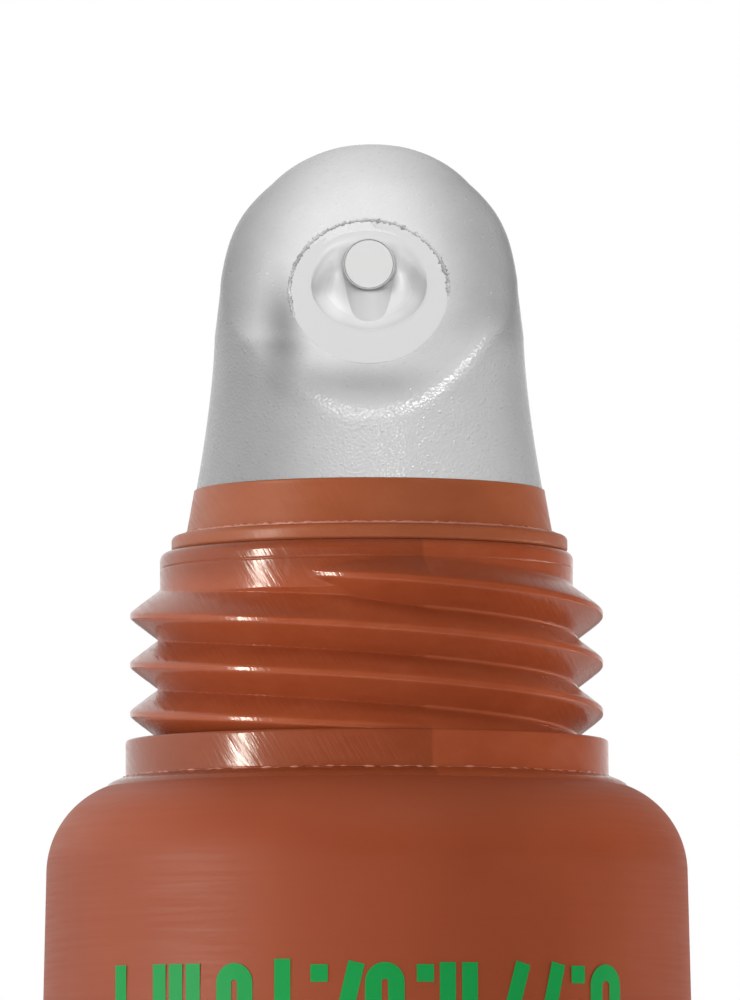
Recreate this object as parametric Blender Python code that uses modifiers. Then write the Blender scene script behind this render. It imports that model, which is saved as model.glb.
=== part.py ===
"""Squeeze tube of lip balm with a slanted soft applicator, cap taken off.

Metres, +Z up. The tube stands on the middle of its flat sealed tail with the
applicator on top; the slanted face and the mouth look along -Y, and the tail
seal lies along X. Heights whose names end in _Z are measured up from the
top face of the collar under the thread, which stands at COLLAR_TOP.
"""
import math

import bmesh
import bpy
from mathutils import Matrix, Vector

MM = 0.001

# Facets and fits
SEGMENTS = 48
FILL_SEGMENTS = 24
SMALL_SEGMENTS = 24
CLEARANCE = 0.05 * MM          # between any two pieces that fit together
THROUGH = 1.0 * MM             # how far a cutter runs past what it cuts
MERGE_DISTANCE = 0.0001 * MM

# Neck: bore, wall, thread and collar; heights up from the collar's top face
BORE_R = 4.0 * MM
NECK_WALL = 1.12 * MM
NECK_HEIGHT = 4.66 * MM
COLLAR_STEP = 0.85 * MM        # collar out from the neck
COLLAR_HEIGHT = 0.87 * MM
EDGE_CHAMFER = 0.08 * MM

# Double-start left-hand thread on the neck
THREAD_STARTS = 2
THREAD_DEPTH = 0.74 * MM
THREAD_LEAD = 2.43 * MM
THREAD_CREST_WIDTH = 0.10 * MM
THREAD_FLANK = math.radians(36.5)   # from the plane across the axis
THREAD_ROOT_DEPTH = 0.25 * MM       # buried in the neck
THREAD_TOP_GAP = 0.80 * MM          # neck's top face down to where a ridge starts
THREAD_OVERRUN = 0.75 * MM          # below the collar's top face, lost in the collar
THREAD_START_ANGLE = math.radians(-110.0)
THREAD_RUN_IN = math.radians(95.0)

# Shoulder and sleeve; the steps add up to a tube 16 mm across
EDGE_STEP = 0.53 * MM          # sleeve's rolled-in edge out from the collar
EDGE_DROP = 0.30 * MM          # and down from the collar's underside
SHOULDER_STEP = 2.03 * MM      # sleeve out from the collar
SHOULDER_NECKING = 0.07 * MM   # the shoulder is this much slimmer than the sleeve
SHOULDER_SLOPE = math.radians(22.2)
SLEEVE_WALL = 0.45 * MM
SLEEVE_LENGTH = 65.0 * MM      # tail to the rolled-in edge
ROUND_LENGTH = 5.2 * MM        # edge to the last round section
SEAL_HEIGHT = 5.0 * MM
SEAL_SLIT = 0.04 * MM          # half of what is left of the cavity at the seal
SEAL_FACE = 0.001 * MM         # keeps the outer section a true ellipse where it is flat
LOFT_STEPS = 8
END_CROWDING_SHARE = 0.8       # gathers the section's points at its folded ends
HEAD_WALL = 0.9 * MM
HEAD_SKIRT = 0.5 * MM
HEAD_SKIRT_LENGTH = 4.03 * MM  # down from the sleeve's edge

# Applicator base: flanged plug snapped into the neck
FLANGE_INSET = 0.21 * MM       # in from the neck's outside
FLANGE_HEIGHT = 0.35 * MM
FLANGE_ROUND = 0.12 * MM
LEDGE = 0.37 * MM              # flange's edge in to the band
BAND_TAPER = 0.185 * MM
BAND_HEIGHT = 1.14 * MM
SOCKET_DEPTH = 0.9 * MM
PLUG_WALL = 0.75 * MM
PLUG_LENGTH = 3.8 * MM
PLUG_CHAMFER = 0.25 * MM
SNAP_DROP = 2.56 * MM          # neck's top face to the middle of the snap bead
SNAP_HEIGHT = 0.9 * MM
SNAP_FLAT = 0.45 * MM
SNAP_DEPTH = 0.12 * MM

# Applicator tip: soft, slanted; rises are from the top of the base's band
TIP_INSET = 0.055 * MM         # in from the band
TIP_FLARE_WIDTH = 0.46 * MM
TIP_FLARE_EXPONENT = 1.5       # how fast the flare opens to the base
WAIST_RISE = 3.8 * MM
DOME_STEP = 0.19 * MM          # in from the waist
DOME_RISE = 4.99 * MM
DOME_HEIGHT = 4.65 * MM        # before the slanted face takes its top
DOME_EXPONENT = 1.7            # of its outline, 2 for an ellipse
WALL_LEAN = math.radians(7.3)  # of the wall where it runs into the dome
FACE_TILT = math.radians(38.0)      # of the face's normal above level
FACE_RISE = 1.8 * MM           # to the low front point of the face
FACE_SET = 0.11 * MM           # of that point, out from the waist
FACE_ROUND = 0.6 * MM          # half-width of the softened rim
FOOT_INSET = 0.55 * MM
FOOT_WALL = 0.75 * MM
CAVITY_RISE = 0.2 * MM         # to where the hollow starts to narrow
CONE_HEIGHT = 1.6 * MM
CHANNEL_R = 0.9 * MM
CHANNEL_OVERRUN = 0.65 * MM    # into the mouth's socket

# Nozzle insert: clear, set in the mouth
MOUTH_DROP = 0.15 * MM         # from the dome's centre
MOUTH_HALF_WIDTH = 1.98 * MM
MOUTH_HALF_HEIGHT = 1.79 * MM
INSERT_RECESS = 0.05 * MM      # of its front below the slanted face
INSERT_BACK_WALL = 0.46 * MM   # behind the upright duct's pillar
BOWL_RISE = 0.18 * MM          # of the bowl above the mouth's centre
BOWL_RIM = 0.49 * MM           # from the mouth's edge in to the bowl
BOWL_DEPTH = 1.6 * MM
ORIFICE_RISE = 0.77 * MM       # of the orifice above the mouth's centre
ORIFICE_SETBACK = 0.65 * MM    # behind the slanted face
ORIFICE_R = 0.60 * MM
ORIFICE_WALL = 0.08 * MM
DUCT_R = 0.46 * MM
PILLAR_WALL = 0.16 * MM
DUCT_SETBACK = 0.60 * MM       # duct's axis behind the orifice's face
DUCT_OVERRUN = 0.13 * MM       # of the orifice past the duct's axis

# Radii that follow
NECK_R = BORE_R + NECK_WALL
THREAD_CREST_R = NECK_R + THREAD_DEPTH
COLLAR_R = NECK_R + COLLAR_STEP
SLEEVE_EDGE_R = COLLAR_R + EDGE_STEP
SLEEVE_R = COLLAR_R + SHOULDER_STEP
SHOULDER_END_R = SLEEVE_R - SHOULDER_NECKING
SHOULDER_ROLL = (SHOULDER_END_R - SLEEVE_EDGE_R) / (1.0 - math.sin(SHOULDER_SLOPE))
SHOULDER_CENTRE_R = SHOULDER_END_R - SHOULDER_ROLL
SLEEVE_MOUTH_R = SHOULDER_CENTRE_R + (SHOULDER_ROLL - SLEEVE_WALL) * math.sin(SHOULDER_SLOPE)
PLUG_R = BORE_R - CLEARANCE
FLANGE_R = NECK_R - FLANGE_INSET
BAND_BOTTOM_R = FLANGE_R - LEDGE
BAND_TOP_R = BAND_BOTTOM_R - BAND_TAPER
TIP_BASE_R = BAND_TOP_R - TIP_INSET
FOOT_R = TIP_BASE_R - FOOT_INSET
SOCKET_R = FOOT_R + CLEARANCE
TIP_CAVITY_R = FOOT_R - FOOT_WALL
TIP_WAIST_R = TIP_BASE_R - TIP_FLARE_WIDTH
DOME_R = TIP_WAIST_R - DOME_STEP
PILLAR_R = DUCT_R + PILLAR_WALL
ELBOW_R = ORIFICE_R + ORIFICE_WALL

# Heights that follow, from the collar's top face
EDGE_Z = -COLLAR_HEIGHT - EDGE_DROP
COLLAR_TOP = SLEEVE_LENGTH - EDGE_Z
SHOULDER_CENTRE_Z = EDGE_Z - SHOULDER_ROLL * math.cos(SHOULDER_SLOPE)
ROUND_Z = EDGE_Z - ROUND_LENGTH
SKIRT_Z = EDGE_Z - HEAD_SKIRT_LENGTH
SNAP_Z = NECK_HEIGHT - SNAP_DROP
FLANGE_BOTTOM_Z = NECK_HEIGHT + CLEARANCE
FLANGE_TOP_Z = FLANGE_BOTTOM_Z + FLANGE_HEIGHT
BAND_TOP_Z = FLANGE_TOP_Z + BAND_HEIGHT
SOCKET_FLOOR_Z = BAND_TOP_Z - SOCKET_DEPTH
PLUG_BOTTOM_Z = FLANGE_BOTTOM_Z - PLUG_LENGTH
TIP_BOTTOM_Z = BAND_TOP_Z + CLEARANCE
FOOT_BOTTOM_Z = SOCKET_FLOOR_Z + CLEARANCE
WAIST_Z = BAND_TOP_Z + WAIST_RISE
DOME_CENTRE_Z = BAND_TOP_Z + DOME_RISE
CAVITY_Z = BAND_TOP_Z + CAVITY_RISE
CONE_TOP_Z = CAVITY_Z + CONE_HEIGHT
MOUTH_Z = DOME_CENTRE_Z - MOUTH_DROP
MOUTH_BOTTOM_Z = MOUTH_Z - MOUTH_HALF_HEIGHT
CHANNEL_TOP_Z = MOUTH_BOTTOM_Z + CHANNEL_OVERRUN
BOWL_Z = MOUTH_Z + BOWL_RISE
ORIFICE_Z = MOUTH_Z + ORIFICE_RISE

# The slanted face, and what lies behind it along Y
FACE_NORMAL = Vector((0.0, -math.cos(FACE_TILT), math.sin(FACE_TILT)))
FACE_Y = -TIP_WAIST_R - FACE_SET
FACE_Z = BAND_TOP_Z + FACE_RISE


def face_y(z):
    """Where the slanted face lies along Y at a height above the collar's top face."""
    return FACE_Y + (z - FACE_Z) * math.tan(FACE_TILT)


ORIFICE_FACE_Y = face_y(ORIFICE_Z) + ORIFICE_SETBACK
DUCT_Y = ORIFICE_FACE_Y + DUCT_SETBACK
SOCKET_BACK_Y = DUCT_Y + PILLAR_R + INSERT_BACK_WALL + CLEARANCE


for existing in list(bpy.data.objects):
    bpy.data.objects.remove(existing, do_unlink=True)

parts = bpy.data.collections.new("lip_balm_tube")
cutters = bpy.data.collections.new("cutters")
bpy.context.scene.collection.children.link(parts)
bpy.context.scene.collection.children.link(cutters)


def material(name, colour, roughness, transmission=0.0):
    made = bpy.data.materials.new(name)
    made.use_nodes = True
    shader = made.node_tree.nodes["Principled BSDF"]
    shader.inputs["Base Color"].default_value = (*colour, 1.0)
    shader.inputs["Roughness"].default_value = roughness
    shader.inputs["Metallic"].default_value = 0.0
    shader.inputs["Transmission Weight"].default_value = transmission
    made.diffuse_color = (*colour, 1.0)
    return made


BROWN_SATIN = material("brown_sleeve_plastic", (0.36, 0.095, 0.040), 0.45)
BROWN_GLOSS = material("brown_moulded_plastic", (0.33, 0.075, 0.028), 0.28)
FROSTED = material("frosted_soft_plastic", (0.62, 0.62, 0.62), 0.40, 0.4)
CLEAR = material("clear_plastic", (0.80, 0.80, 0.80), 0.12, 0.6)
BALM = material("balm", (0.72, 0.71, 0.69), 0.30)


def add_object(name, mesh, mat=None, collection=parts):
    made = bpy.data.objects.new(name, mesh)
    collection.objects.link(made)
    if mat is not None:
        mesh.materials.append(mat)
    if collection is cutters:
        made.hide_render = True
        made.display_type = "WIRE"
    return made


def mesh_from(name, bm):
    bmesh.ops.recalc_face_normals(bm, faces=bm.faces)
    mesh = bpy.data.meshes.new(name)
    bm.to_mesh(mesh)
    bm.free()
    return mesh


def smooth(made, angle=30.0):
    made.data.shade_smooth()
    made.data.set_sharp_from_angle(angle=math.radians(angle))


def turned(name, profile, mat=None, collection=parts, segments=SEGMENTS, closed=True):
    """A (radius, height) profile, outer side first and running down, turned about Z."""
    bm = bmesh.new()
    points = [bm.verts.new((r, 0.0, z)) for r, z in profile]
    for first, second in zip(points, points[1:]):
        bm.edges.new((first, second))
    if closed:
        bm.edges.new((points[-1], points[0]))
    mesh = bpy.data.meshes.new(name)
    bm.to_mesh(mesh)
    bm.free()
    made = add_object(name, mesh, mat, collection)
    screw = made.modifiers.new("turn", "SCREW")
    screw.axis = "Z"
    screw.angle = 2.0 * math.pi
    screw.steps = segments
    screw.render_steps = segments
    screw.use_merge_vertices = True
    screw.merge_threshold = MERGE_DISTANCE
    screw.use_smooth_shade = True
    return made


def baked(made):
    """The object with its modifiers applied, so that its points can be moved or cut."""
    evaluated = made.evaluated_get(bpy.context.evaluated_depsgraph_get())
    mesh = bpy.data.meshes.new_from_object(evaluated)
    mesh.name = made.name
    made.modifiers.clear()
    made.data = mesh
    return made


def boolean(made, cutter, operation="DIFFERENCE"):
    step = made.modifiers.new(operation.lower(), "BOOLEAN")
    step.operation = operation
    step.object = cutter
    step.solver = "EXACT"


def arc(centre_r, centre_z, radius, start, end, steps):
    """Points of an arc in the profile plane; angles are measured from straight up."""
    points = []
    for i in range(steps + 1):
        angle = start + (end - start) * i / steps
        points.append((centre_r + radius * math.sin(angle), centre_z + radius * math.cos(angle)))
    return points


# Sleeve sections

def ellipse_half_width(half_depth, girth):
    """Half-width of the ellipse with this half-depth and this girth, by bisection."""
    low, high = half_depth, girth / 4.0
    for _ in range(60):
        half_width = (low + high) / 2.0
        spread = ((half_width - half_depth) / (half_width + half_depth)) ** 2
        length = math.pi * (half_width + half_depth) * (
            1.0 + 3.0 * spread / (10.0 + math.sqrt(4.0 - 3.0 * spread)))
        if length < girth:
            low = half_width
        else:
            high = half_width
    return (low + high) / 2.0


def section(half_width, half_depth, offset, crowding, count):
    """An ellipse's points moved outward by offset, gathered at the ends by crowding."""
    points = []
    for i in range(count):
        turn = 2.0 * math.pi * i / count
        turn -= crowding * math.sin(2.0 * turn) / 2.0
        x, y = half_width * math.cos(turn), half_depth * math.sin(turn)
        normal = Vector((half_depth * math.cos(turn), half_width * math.sin(turn))).normalized()
        points.append((x + offset * normal.x, y + offset * normal.y))
    return points


def loft(name, rings, mat=None, collection=parts):
    """A closed body through rings of (height, points) that hold as many points each."""
    bm = bmesh.new()
    loops = [[bm.verts.new((x, y, z)) for x, y in points] for z, points in rings]
    for upper, lower in zip(loops, loops[1:]):
        count = len(upper)
        for i in range(count):
            j = (i + 1) % count
            bm.faces.new((upper[i], lower[i], lower[j], upper[j]))
    bm.faces.new(loops[0])
    bm.faces.new(reversed(loops[-1]))
    return add_object(name, mesh_from(name, bm), mat, collection)


def flattening(t):
    """0 at the last round section, 1 at the seal, and slow to start."""
    return t * t * (3.0 - t) / 2.0


GIRTH = 2.0 * math.pi * (SLEEVE_R - SLEEVE_WALL)


def tail_rings(offset, count, flat_depth):
    """Rings of the flattening part: the cavity's ellipse moved outward by offset."""
    rings = []
    for step in range(1, LOFT_STEPS + 1):
        t = step / LOFT_STEPS
        depth = (SLEEVE_R - SLEEVE_WALL) * (1.0 - flattening(t)) + flat_depth * flattening(t)
        width = ellipse_half_width(depth, GIRTH)
        top = COLLAR_TOP + ROUND_Z
        z = top + (SEAL_HEIGHT - top) * t
        rings.append((z, section(width, depth, offset, END_CROWDING_SHARE * flattening(t), count)))
    return rings


def round_ring(radius, z, count):
    return (z, section(radius, radius, 0.0, 0.0, count))


def shoulder_arc(inset, steps=6):
    return arc(SHOULDER_CENTRE_R, COLLAR_TOP + SHOULDER_CENTRE_Z, SHOULDER_ROLL - inset,
               SHOULDER_SLOPE, math.pi / 2.0, steps)


outer_rings = [round_ring(r, z, SEGMENTS) for r, z in shoulder_arc(0.0)]
outer_rings.append(round_ring(SLEEVE_R, COLLAR_TOP + ROUND_Z, SEGMENTS))
outer_rings += tail_rings(SLEEVE_WALL, SEGMENTS, SEAL_FACE)
outer_rings.append((0.0, outer_rings[-1][1]))
sleeve = loft("sleeve", outer_rings, BROWN_SATIN)

cavity_rings = [round_ring(SLEEVE_MOUTH_R, SLEEVE_LENGTH + THROUGH, SEGMENTS)]
cavity_rings += [round_ring(r, z, SEGMENTS) for r, z in shoulder_arc(SLEEVE_WALL)]
cavity_rings.append(round_ring(SLEEVE_R - SLEEVE_WALL, COLLAR_TOP + ROUND_Z, SEGMENTS))
cavity_rings += tail_rings(0.0, SEGMENTS, SEAL_SLIT)
boolean(sleeve, loft("sleeve_cavity", cavity_rings, None, cutters))
smooth(sleeve)


# Head

def at(radius, z):
    """A profile point whose height is given from the collar's top face."""
    return (radius, COLLAR_TOP + z)


head_inset = SLEEVE_WALL + CLEARANCE
register_r = SLEEVE_MOUTH_R - CLEARANCE
seat_arc = [point for point in shoulder_arc(head_inset) if point[0] > register_r]
skirt_r = SHOULDER_END_R - head_inset
under_arc = arc(SHOULDER_CENTRE_R, COLLAR_TOP + SHOULDER_CENTRE_Z,
                SHOULDER_ROLL - head_inset - HEAD_WALL, math.pi / 2.0, 0.0, 3)
under_z = under_arc[-1][1] - COLLAR_TOP
head_profile = [
    at(BORE_R, NECK_HEIGHT),
    at(NECK_R - EDGE_CHAMFER, NECK_HEIGHT),
    at(NECK_R, NECK_HEIGHT - EDGE_CHAMFER),
    at(NECK_R, 0.0),
    at(COLLAR_R - EDGE_CHAMFER, 0.0),
    at(COLLAR_R, -EDGE_CHAMFER),
    at(COLLAR_R, -COLLAR_HEIGHT),
    at(register_r, EDGE_Z + CLEARANCE),
    (register_r, seat_arc[0][1]),
    *seat_arc,
    at(skirt_r, SKIRT_Z),
    at(skirt_r - HEAD_SKIRT, SKIRT_Z),
    *under_arc,
    at(BORE_R, under_z),
    at(BORE_R, SNAP_Z - SNAP_HEIGHT / 2.0),
    at(BORE_R + SNAP_DEPTH, SNAP_Z - SNAP_FLAT / 2.0),
    at(BORE_R + SNAP_DEPTH, SNAP_Z + SNAP_FLAT / 2.0),
    at(BORE_R, SNAP_Z + SNAP_HEIGHT / 2.0),
]
tube_head = turned("tube_head", head_profile, BROWN_GLOSS)


def thread_ridge(name, start_angle):
    """One left-hand ridge: its section swept down the neck, growing over the run-in."""
    bm = bmesh.new()
    step = 2.0 * math.pi / SEGMENTS
    top = NECK_HEIGHT - THREAD_TOP_GAP
    count = math.ceil((top + THREAD_OVERRUN) / THREAD_LEAD * SEGMENTS)
    root_r = NECK_R - THREAD_ROOT_DEPTH
    start_r = NECK_R - THREAD_ROOT_DEPTH / 2.0
    loops = []
    for i in range(count + 1):
        angle = start_angle + i * step
        z = COLLAR_TOP + top - THREAD_LEAD * i / SEGMENTS
        share = min(1.0, (i * step) / THREAD_RUN_IN)
        crest_r = start_r + (THREAD_CREST_R - start_r) * math.sin(share * math.pi / 2.0)
        crest = THREAD_CREST_WIDTH / 2.0
        root = crest + (crest_r - root_r) * math.tan(THREAD_FLANK)
        outline = ((root_r, root), (crest_r, crest), (crest_r, -crest), (root_r, -root))
        loops.append([bm.verts.new((r * math.cos(angle), r * math.sin(angle), z + dz))
                      for r, dz in outline])
    for upper, lower in zip(loops, loops[1:]):
        for i in range(4):
            j = (i + 1) % 4
            bm.faces.new((upper[i], upper[j], lower[j], lower[i]))
    bm.faces.new(reversed(loops[0]))
    bm.faces.new(loops[-1])
    return add_object(name, mesh_from(name, bm), None, cutters)


for start in range(THREAD_STARTS):
    offset = 2.0 * math.pi * start / THREAD_STARTS
    ridge = thread_ridge("thread_ridge_%d" % (start + 1), THREAD_START_ANGLE + offset)
    boolean(tube_head, ridge, "UNION")


# Applicator base

base_profile = [
    at(SOCKET_R, BAND_TOP_Z),
    at(BAND_TOP_R, BAND_TOP_Z),
    at(BAND_BOTTOM_R, FLANGE_TOP_Z),
    at(FLANGE_R - FLANGE_ROUND, FLANGE_TOP_Z),
    at(FLANGE_R, FLANGE_TOP_Z - FLANGE_ROUND),
    at(FLANGE_R, FLANGE_BOTTOM_Z + FLANGE_ROUND),
    at(FLANGE_R - FLANGE_ROUND, FLANGE_BOTTOM_Z),
    at(PLUG_R, FLANGE_BOTTOM_Z),
    at(PLUG_R, SNAP_Z + SNAP_HEIGHT / 2.0),
    at(PLUG_R + SNAP_DEPTH, SNAP_Z + SNAP_FLAT / 2.0),
    at(PLUG_R + SNAP_DEPTH, SNAP_Z - SNAP_FLAT / 2.0),
    at(PLUG_R, SNAP_Z - SNAP_HEIGHT / 2.0),
    at(PLUG_R, PLUG_BOTTOM_Z + PLUG_CHAMFER),
    at(PLUG_R - PLUG_CHAMFER, PLUG_BOTTOM_Z),
    at(PLUG_R - PLUG_WALL, PLUG_BOTTOM_Z),
    at(PLUG_R - PLUG_WALL, SOCKET_FLOOR_Z),
    at(SOCKET_R, SOCKET_FLOOR_Z),
]
applicator_base = turned("applicator_base", base_profile, BROWN_GLOSS)


# Applicator tip

FACE_POINT = Vector((0.0, FACE_Y, COLLAR_TOP + FACE_Z))


def pressed(height, softness):
    """How far a point that stands this high over the face is pushed back."""
    if height <= -softness:
        return 0.0
    if height >= softness:
        return height
    return (height + softness) ** 2 / (4.0 * softness)


def dome_points(steps=9):
    """The dome's outline from the top down to where the leaning wall takes over."""
    points = []
    for i in range(steps):
        angle = (math.pi / 2.0 - WALL_LEAN) * i / (steps - 1)
        out = math.sin(angle) ** (2.0 / DOME_EXPONENT)
        up = math.cos(angle) ** (2.0 / DOME_EXPONENT)
        points.append(at(DOME_R * out, DOME_CENTRE_Z + DOME_HEIGHT * up))
    return points


def flare_points(steps=7):
    """The wall from the waist down to the base, opening as a power of the drop."""
    points = []
    for i in range(steps):
        share = i / (steps - 1)
        points.append(at(TIP_WAIST_R + TIP_FLARE_WIDTH * share ** TIP_FLARE_EXPONENT,
                         WAIST_Z + (TIP_BOTTOM_Z - WAIST_Z) * share))
    return points


tip_profile = dome_points() + flare_points() + [
    at(FOOT_R, TIP_BOTTOM_Z),
    at(FOOT_R, FOOT_BOTTOM_Z),
    at(0.0, FOOT_BOTTOM_Z),
]
applicator_tip = baked(turned("applicator_tip", tip_profile, FROSTED, closed=False))
for vertex in applicator_tip.data.vertices:
    height = (vertex.co - FACE_POINT).dot(FACE_NORMAL)
    vertex.co -= FACE_NORMAL * pressed(height, FACE_ROUND)

tip_cavity = turned("tip_cavity", [
    at(0.0, CHANNEL_TOP_Z),
    at(CHANNEL_R, CHANNEL_TOP_Z),
    at(CHANNEL_R, CONE_TOP_Z),
    at(TIP_CAVITY_R, CAVITY_Z),
    at(TIP_CAVITY_R, FOOT_BOTTOM_Z - THROUGH),
    at(0.0, FOOT_BOTTOM_Z - THROUGH),
], None, cutters, closed=False)


def level_cylinder(name, radius, back_y, front_y, z, squash=1.0, count=SEGMENTS,
                   mat=None, collection=cutters):
    """A cylinder along Y, flattened in height by squash."""
    bm = bmesh.new()
    bmesh.ops.create_cone(bm, cap_ends=True, segments=count, radius1=radius, radius2=radius,
                          depth=back_y - front_y)
    bm.transform(Matrix.Translation((0.0, (back_y + front_y) / 2.0, COLLAR_TOP + z))
                 @ Matrix.Diagonal((1.0, 1.0, squash, 1.0))
                 @ Matrix.Rotation(math.pi / 2.0, 4, "X"))
    return add_object(name, mesh_from(name, bm), mat, collection)


def upright_cylinder(name, radius, y, bottom_z, top_z, count=SMALL_SEGMENTS):
    """A cylinder along Z with its axis at y."""
    bm = bmesh.new()
    bmesh.ops.create_cone(bm, cap_ends=True, segments=count, radius1=radius, radius2=radius,
                          depth=top_z - bottom_z)
    bm.transform(Matrix.Translation((0.0, y, COLLAR_TOP + (bottom_z + top_z) / 2.0)))
    return add_object(name, mesh_from(name, bm), None, cutters)


boolean(applicator_tip, tip_cavity)
boolean(applicator_tip, level_cylinder(
    "mouth_socket", MOUTH_HALF_WIDTH, SOCKET_BACK_Y, FACE_Y - THROUGH, MOUTH_Z,
    MOUTH_HALF_HEIGHT / MOUTH_HALF_WIDTH))
smooth(applicator_tip)


# Nozzle insert

insert_half_width = MOUTH_HALF_WIDTH - CLEARANCE
nozzle_insert = level_cylinder(
    "nozzle_insert", insert_half_width, SOCKET_BACK_Y - CLEARANCE, FACE_Y, MOUTH_Z,
    (MOUTH_HALF_HEIGHT - CLEARANCE) / insert_half_width, mat=CLEAR, collection=parts)

for vertex in nozzle_insert.data.vertices:
    if vertex.co.y < ORIFICE_FACE_Y:
        vertex.co.y = face_y(vertex.co.z - COLLAR_TOP) + INSERT_RECESS / math.cos(FACE_TILT)

bowl_half_width = MOUTH_HALF_WIDTH - BOWL_RIM
bm = bmesh.new()
bmesh.ops.create_uvsphere(bm, u_segments=SMALL_SEGMENTS, v_segments=SMALL_SEGMENTS // 2,
                          radius=bowl_half_width)
bm.transform(Matrix.Translation((0.0, face_y(BOWL_Z), COLLAR_TOP + BOWL_Z))
             @ Matrix.Diagonal((1.0, BOWL_DEPTH / bowl_half_width, math.cos(FACE_TILT), 1.0)))
boolean(nozzle_insert, add_object("bowl_cutter", mesh_from("bowl_cutter", bm), None, cutters))

boolean(nozzle_insert, upright_cylinder(
    "elbow_upright", PILLAR_R, DUCT_Y, MOUTH_BOTTOM_Z + PILLAR_R, ORIFICE_Z), "UNION")
boolean(nozzle_insert, level_cylinder(
    "elbow_level", ELBOW_R, DUCT_Y + DUCT_R, ORIFICE_FACE_Y, ORIFICE_Z,
    count=SMALL_SEGMENTS), "UNION")
boolean(nozzle_insert, upright_cylinder(
    "duct", DUCT_R, DUCT_Y, MOUTH_BOTTOM_Z - THROUGH, ORIFICE_Z - DUCT_OVERRUN))
boolean(nozzle_insert, level_cylinder(
    "orifice", ORIFICE_R, DUCT_Y + DUCT_OVERRUN, ORIFICE_FACE_Y - THROUGH, ORIFICE_Z,
    count=SMALL_SEGMENTS))
smooth(nozzle_insert)


# Balm

fill_r = PLUG_R - PLUG_WALL - CLEARANCE
channel_end_z = CHANNEL_TOP_Z - CHANNEL_OVERRUN - CHANNEL_R
fill_outline = [
    at(CHANNEL_R - CLEARANCE, channel_end_z),
    at(CHANNEL_R - CLEARANCE, CONE_TOP_Z - 2.0 * CLEARANCE),
    at(TIP_CAVITY_R - CLEARANCE, CAVITY_Z - 2.0 * CLEARANCE),
    at(TIP_CAVITY_R - CLEARANCE, SOCKET_FLOOR_Z),
    at(fill_r, SOCKET_FLOOR_Z - CLEARANCE),
    at(fill_r, PLUG_BOTTOM_Z - CLEARANCE),
    at(PLUG_R, PLUG_BOTTOM_Z - 2.0 * CLEARANCE),
    at(PLUG_R, under_z - CLEARANCE),
    *[(r - CLEARANCE, z - CLEARANCE) for r, z in reversed(under_arc[:-1])],
    at(skirt_r - HEAD_SKIRT - CLEARANCE, SKIRT_Z - CLEARANCE),
    at(SLEEVE_R - SLEEVE_WALL - 2.0 * CLEARANCE, ROUND_Z),
]
fill_rings = [round_ring(r, z, FILL_SEGMENTS) for r, z in fill_outline]
fill_rings += tail_rings(-2.0 * CLEARANCE, FILL_SEGMENTS, SEAL_SLIT)[:-1]
balm_fill = loft("balm_fill", fill_rings, BALM)
boolean(balm_fill, upright_cylinder(
    "balm_in_duct", DUCT_R - CLEARANCE, DUCT_Y, channel_end_z - CHANNEL_R,
    ORIFICE_Z - DUCT_OVERRUN - CLEARANCE), "UNION")
boolean(balm_fill, level_cylinder(
    "balm_in_orifice", ORIFICE_R - CLEARANCE, DUCT_Y + DUCT_OVERRUN - CLEARANCE,
    ORIFICE_FACE_Y + CLEARANCE, ORIFICE_Z, count=SMALL_SEGMENTS), "UNION")
smooth(balm_fill)
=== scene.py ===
"""Looks of the open lip balm tube, laid over its solid model. Metres, +Z up.

Shapes are written in millimetres with heights from the collar's top face, and
placed by placed(). The camera looks along +Y at the slanted face.
"""
import math

import bpy
import numpy as np
from mathutils import Matrix, Vector


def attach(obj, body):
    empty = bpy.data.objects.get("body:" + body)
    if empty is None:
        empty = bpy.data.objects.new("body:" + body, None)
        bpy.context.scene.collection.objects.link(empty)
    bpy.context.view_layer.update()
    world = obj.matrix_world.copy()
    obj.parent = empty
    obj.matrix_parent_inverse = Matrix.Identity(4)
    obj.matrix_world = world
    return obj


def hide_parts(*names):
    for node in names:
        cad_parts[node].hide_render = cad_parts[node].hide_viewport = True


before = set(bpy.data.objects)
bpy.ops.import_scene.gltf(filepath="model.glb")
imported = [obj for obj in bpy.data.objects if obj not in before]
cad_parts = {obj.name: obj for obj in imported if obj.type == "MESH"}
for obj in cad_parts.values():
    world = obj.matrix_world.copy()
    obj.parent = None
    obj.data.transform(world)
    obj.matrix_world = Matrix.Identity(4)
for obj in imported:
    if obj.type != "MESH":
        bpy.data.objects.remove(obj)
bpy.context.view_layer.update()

MM = 0.001
COLLAR_TOP = 66.17

# Sizes that the solid model also has, in millimetres

NECK_R, NECK_HEIGHT, BORE_R = 5.12, 4.66, 4.0
COLLAR_R, COLLAR_HEIGHT = 5.97, 0.93
THREAD_CREST_R, THREAD_LEAD, THREAD_START_Z = 5.86, 2.43, 3.86
THREAD_START, THREAD_RUN_IN = math.radians(-112.0), math.radians(40.0)
THREAD_FLANK = math.radians(36.5)
SLEEVE_R, SLEEVE_WALL, EDGE_Z = 8.0, 0.45, -1.17
SHOULDER_R, SHOULDER_ROLL, SHOULDER_SLOPE = 7.93, 2.298, math.radians(22.2)
SEAL_HEIGHT = 5.0
FLANGE_R, FLANGE_TOP = 4.91, 5.06
BAND_BOTTOM_R, BAND_TOP_R, BAND_TOP = 4.54, 4.355, 6.20
FACE_TILT = math.radians(38.0)
FACE_Y, FACE_Z = -3.95, 8.0
MOUTH_Z, MOUTH_W, MOUTH_H = 11.05, 1.97, 1.93
ORIFICE_Z, ORIFICE_R = 11.80, 0.61
TIP_ASIDE = 0.075


# Mesh helpers

def level(height):
    """A height over the collar's top face in millimetres, as metres over the tube's foot."""
    return (COLLAR_TOP + height) * MM


def placed(points):
    """Millimetre points over the collar's top face, as metres over the tube's foot."""
    out = np.array(points, float).reshape(-1, 3)
    out[:, 2] += COLLAR_TOP
    return out * MM


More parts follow.
